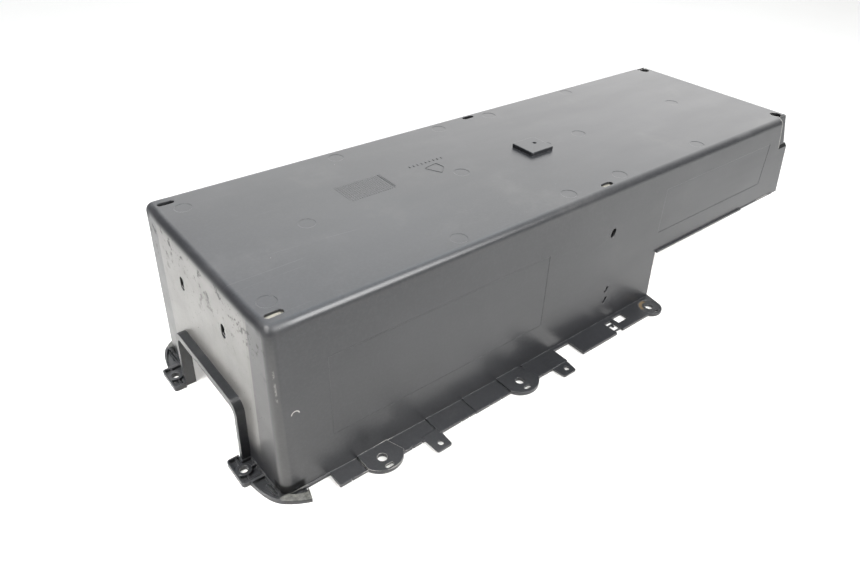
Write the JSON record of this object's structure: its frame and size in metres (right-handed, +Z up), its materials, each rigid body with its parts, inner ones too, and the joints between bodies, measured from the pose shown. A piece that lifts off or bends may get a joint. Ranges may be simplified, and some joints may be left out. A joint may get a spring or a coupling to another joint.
{
  "type": "battery pack",
  "caption": "Long stepped black plastic battery pack case standing on a foot flange with bolt pads, cable arch at one end, cell modules and control electronics inside.",
  "frame": {"origin": "centre of the footprint, on the surface that the rim stands on", "axes": "+X along the length towards the shallow end, -X at the cable arch, +Z up to the roof, Y across"},
  "size_m": [0.939, 0.384, 0.218],
  "materials": {
    "case_plastic": "satin",
    "felt": "matt needle felt",
    "sheet_aluminium": "mill finish",
    "gasket_rubber": "matt closed-cell",
    "zinc_steel": "zinc plated",
    "bulkhead_plastic": "fine grain",
    "socket_plastic": "moulded",
    "mat_foam": "matt foam",
    "copper": "tinned and bare copper",
    "cell_can": "film-wrapped",
    "spacer_film": "matt",
    "strap_steel": "brushed",
    "tray_plastic": "matt",
    "busbar_metal": "bright",
    "circuit_board": "solder mask",
    "clear_cover": "smoked",
    "brass_standoff": "bright",
    "relay_plastic": "moulded",
    "resistor_metal": "anodised",
    "fuse_ceramic": "glazed",
    "wire_sleeve": "woven sleeve"
  },
  "bodies": {
    "root": {"base_gasket": "gasket_rubber", "base_plate": "sheet_aluminium", "base_screws": "zinc_steel", "bay_bulkhead": "bulkhead_plastic", "board_standoffs": "brass_standoff", "bulkhead_gasket": "gasket_rubber", "bulkhead_screws": "zinc_steel", "current_shunt": "copper", "deck_plate": "sheet_aluminium", "deck_screws": "zinc_steel", "fuse_base": "socket_plastic", "heat_sink": "sheet_aluminium", "housing": "case_plastic", "main_contactor": "relay_plastic", "main_fuse": "fuse_ceramic", "management_board": "circuit_board", "module_1_busbar_tray": "tray_plastic", "module_1_busbars": "busbar_metal", "module_1_cells": "cell_can", "module_1_cover": "clear_cover", "module_1_end_plate_far": "sheet_aluminium", "module_1_end_plate_near": "sheet_aluminium", "module_1_sense_board": "circuit_board", "module_1_spacers": "spacer_film", "module_1_straps": "strap_steel", "module_2_busbar_tray": "tray_plastic", "module_2_busbars": "busbar_metal", "module_2_cells": "cell_can", "module_2_cover": "clear_cover", "module_2_end_plate_far": "sheet_aluminium", "module_2_end_plate_near": "sheet_aluminium", "module_2_sense_board": "circuit_board", "module_2_spacers": "spacer_film", "module_2_straps": "strap_steel", "module_3_busbar_tray": "tray_plastic", "module_3_busbars": "busbar_metal", "module_3_cells": "cell_can", "module_3_cover": "clear_cover", "module_3_end_plate_far": "sheet_aluminium", "module_3_end_plate_near": "sheet_aluminium", "module_3_sense_board": "circuit_board", "module_3_spacers": "spacer_film", "module_3_straps": "strap_steel", "module_bolts": "zinc_steel", "module_links": "copper", "module_mats": "mat_foam", "negative_bar": "copper", "positive_bar": "copper", "power_socket": "socket_plastic", "precharge_relay": "relay_plastic", "precharge_resistor": "resistor_metal", "rear_cover": "sheet_aluminium", "rear_cover_screws": "zinc_steel", "rear_gasket": "gasket_rubber", "roof_felt": "felt", "sense_harness": "wire_sleeve", "signal_socket": "socket_plastic", "socket_screws": "zinc_steel", "vent_valve": "socket_plastic"}
  },
  "joints": []
}
